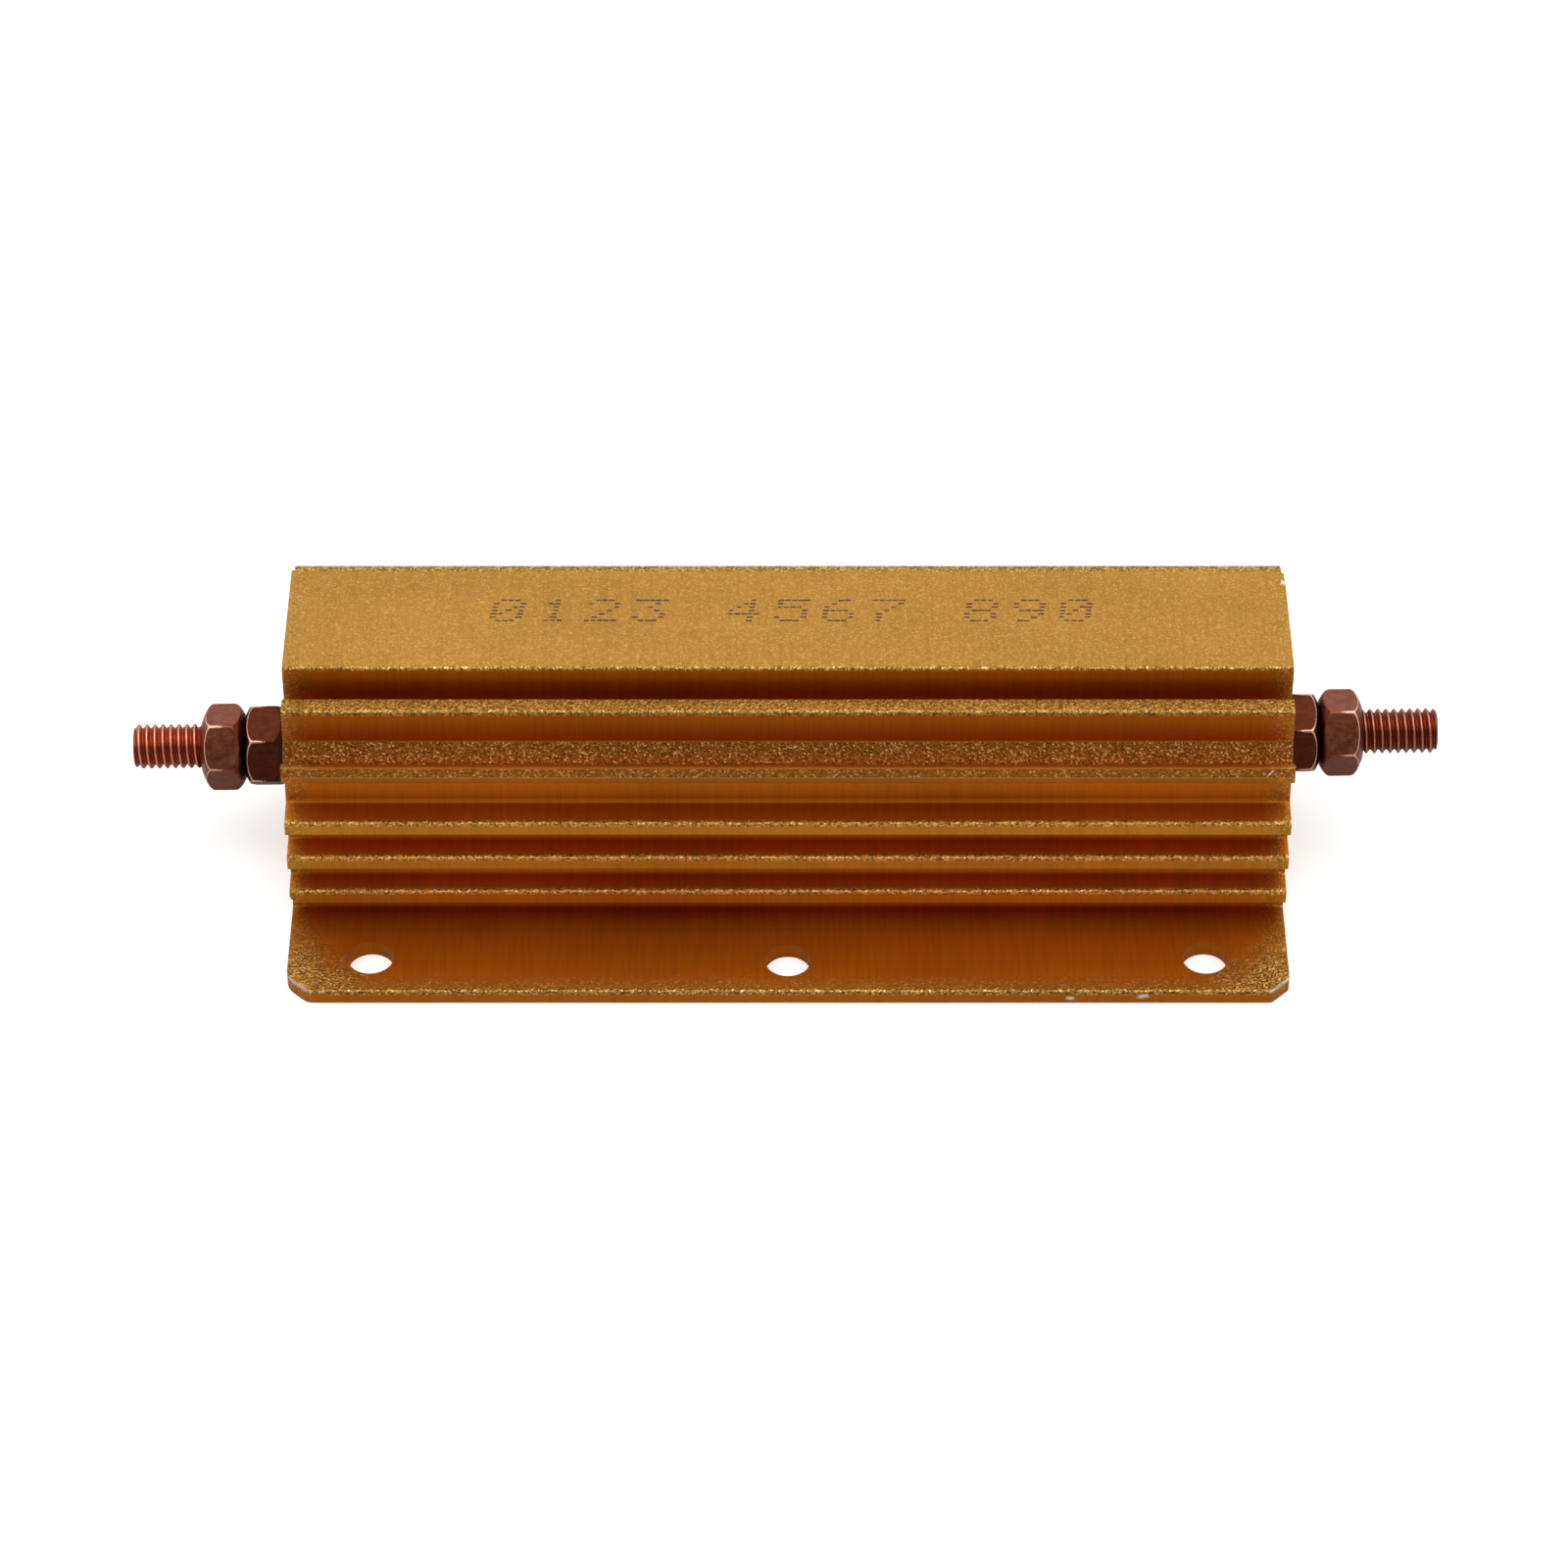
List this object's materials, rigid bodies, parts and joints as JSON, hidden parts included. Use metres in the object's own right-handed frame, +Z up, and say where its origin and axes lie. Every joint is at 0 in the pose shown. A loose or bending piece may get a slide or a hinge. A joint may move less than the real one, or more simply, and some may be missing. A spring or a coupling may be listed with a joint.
{
  "type": "aluminium housed power resistor",
  "caption": "Wirewound power resistor in a finned gold anodised extrusion with drilled mounting flanges and a threaded copper stud with nuts at each end.",
  "frame": {"origin": "on the mounting face, under the middle of the housing", "axes": "+X along the housing towards the right stud, +Y across it, +Z up from the mounting face"},
  "size_m": [0.1453, 0.0572, 0.0311],
  "materials": {
    "anodised_gold": "gold anodised extrusion, finely blasted on its outer faces and smooth in its grooves",
    "stud_copper": "bright copper plated thread",
    "nut_copper": "tarnished dark copper with bright rubbed edges",
    "cap_metal": "plain drawn metal",
    "wire_metal": "drawn resistance wire",
    "white_ceramic": "unglazed fired ceramic",
    "cement": "matt grey-white cement"
  },
  "bodies": {
    "root": {"housing": "anodised_gold", "potting": "cement", "ceramic_core": "white_ceramic", "resistance_wire": "wire_metal", "left_cap": "cap_metal", "right_cap": "cap_metal", "left_stud": "stud_copper", "right_stud": "stud_copper", "left_washer": "white_ceramic", "right_washer": "white_ceramic", "left_inner_nut": "nut_copper", "left_outer_nut": "nut_copper", "right_inner_nut": "nut_copper", "right_outer_nut": "nut_copper"}
  },
  "joints": []
}
